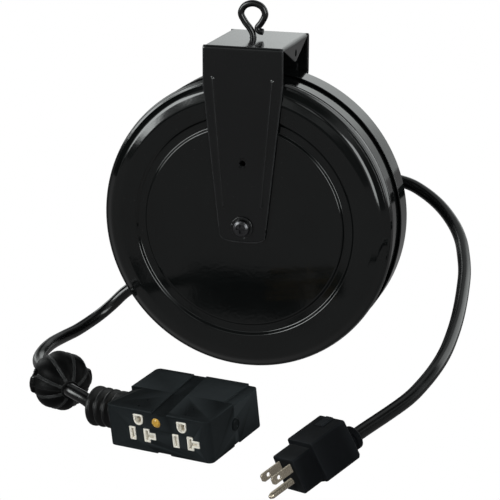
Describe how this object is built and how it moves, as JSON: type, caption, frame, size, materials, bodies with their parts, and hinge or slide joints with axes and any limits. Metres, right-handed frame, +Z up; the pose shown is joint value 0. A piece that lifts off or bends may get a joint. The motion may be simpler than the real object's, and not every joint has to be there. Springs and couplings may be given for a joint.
{
  "type": "hanging extension cord reel",
  "caption": "Hanging spring cord reel: round steel case in a U bracket with wire eye, cord with ball stop and outlet box, and a lead cord with grounded plug.",
  "frame": {"origin": "on the upper face of the bracket, above the middle of the axle, where the reel hangs", "axes": "+Z up towards the hanging eye, +X to the right seen from the front, -Y out of the case's front face; the drum turns about Y"},
  "size_m": [0.3501, 0.3527, 0.3006],
  "materials": {
    "enamel": "gloss black enamel",
    "black_steel": "black finished steel, semi-gloss",
    "steel": "zinc plated steel, satin",
    "brass": "plain brass",
    "copper": "copper contact ring",
    "carbon": "dull carbon brush",
    "cord_jacket": "semi-gloss black cord jacket",
    "rubber": "moulded black rubber, satin",
    "plug_vinyl": "moulded charcoal vinyl, satin",
    "box_plastic": "moulded blue-black plastic, satin with fine grain",
    "nylon": "black nylon",
    "insulator": "brown phenolic",
    "ivory": "ivory receptacle plastic",
    "amber": "amber indicator lens",
    "blade_metal": "nickel plated brass, warm"
  },
  "bodies": {
    "bracket": {"bracket": "enamel"},
    "hanging_eye": {"hanging_eye": "black_steel", "eye_washer": "steel", "eye_nut": "steel"},
    "case": {"front_shell": "enamel", "rear_shell": "enamel", "cord_guide": "nylon", "axle": "steel", "front_washer": "steel", "front_axle_screw": "steel", "rear_axle_nut": "steel", "lead_strain_relief": "rubber", "lead_cord_root": "cord_jacket", "brush_holder": "insulator", "brush_ground": "carbon", "brush_neutral": "carbon", "brush_line": "carbon", "pawl_pin": "steel", "pawl_spring": "steel"},
    "drum": {"drum_hub": "nylon", "front_flange": "steel", "rear_flange": "steel", "front_bushing": "brass", "rear_bushing": "brass", "spring_cover": "steel", "slip_ring_disc": "insulator", "slip_ring_ground": "copper", "slip_ring_neutral": "copper", "slip_ring_line": "copper", "wound_cord": "cord_jacket", "main_spring": "black_steel", "ratchet_ring": "steel"},
    "pawl": {"pawl": "black_steel"},
    "output_cord": {"output_cord": "cord_jacket", "ball_upper_half": "rubber", "ball_lower_half": "rubber", "ball_screw_1": "steel", "ball_screw_2": "steel"},
    "outlet_box": {"box_front_shell": "box_plastic", "box_rear_shell": "box_plastic", "receptacle_front_1": "ivory", "receptacle_front_2": "ivory", "receptacle_rear_1": "ivory", "receptacle_rear_2": "ivory", "box_screw_1": "steel", "box_screw_2": "steel", "bus_line": "brass", "bus_neutral": "brass", "bus_ground": "brass", "indicator_lens": "amber", "circuit_breaker": "nylon", "strain_boot": "rubber", "box_cord": "cord_jacket"},
    "reset_button": {"reset_button": "nylon"},
    "lead_cord": {"lead_cord_run": "cord_jacket"},
    "plug": {"plug_body": "plug_vinyl", "blade_line": "blade_metal", "blade_neutral": "blade_metal", "ground_pin": "blade_metal", "plug_cord": "cord_jacket"}
  },
  "joints": [
    {"name": "case_tilt", "type": "hinge", "parent": "bracket", "child": "case", "pos_m": [0, 0, -0.1473], "axis": [0, 1, 0], "range_deg": [-45, 90], "stiffness_Nm_per_rad": 60},
    {"name": "eye_swivel", "type": "hinge", "parent": "bracket", "child": "hanging_eye", "pos_m": [-0.004, 0.003, 0], "axis": [0, 0, 1], "continuous": true},
    {"name": "drum_spin", "type": "hinge", "parent": "case", "child": "drum", "pos_m": [0, 0, -0.1473], "axis": [0, 1, 0], "range_deg": [-36, 0], "stiffness_Nm_per_rad": 4},
    {"name": "pawl_swing", "type": "hinge", "parent": "case", "child": "pawl", "pos_m": [0.045, 0.0113, -0.22524], "axis": [0, 1, 0], "range_deg": [-12, 0], "stiffness_Nm_per_rad": 0.1},
    {"name": "cord_payout", "type": "slide", "parent": "case", "child": "output_cord", "axis": [-0.8387, 0, -0.5446], "range_m": [0, 0.06], "stiffness_N_per_m": 400},
    {"name": "box_swing", "type": "hinge", "parent": "output_cord", "child": "outlet_box", "pos_m": [-0.08, -0.1905, -0.2478], "axis": [0, 0, 1], "range_deg": [-20, 20], "stiffness_Nm_per_rad": 5},
    {"name": "reset_press", "type": "slide", "parent": "outlet_box", "child": "reset_button", "axis": [-0.9629, 0.2661, -0.046], "range_m": [0, 0.0015], "stiffness_N_per_m": 400},
    {"name": "lead_bend", "type": "hinge", "parent": "case", "child": "lead_cord", "pos_m": [0.1627, 0.014, -0.1449], "axis": [0, 0, 1], "range_deg": [-4, 12], "stiffness_Nm_per_rad": 5},
    {"name": "plug_swing", "type": "hinge", "parent": "lead_cord", "child": "plug", "pos_m": [0.1561, -0.199, -0.2335], "axis": [0, 0, 1], "range_deg": [-10, 20], "stiffness_Nm_per_rad": 2}
  ],
  "couplings": [
    {"joint": "cord_payout", "follows": "drum_spin", "m_per_rad": -0.0938}
  ]
}
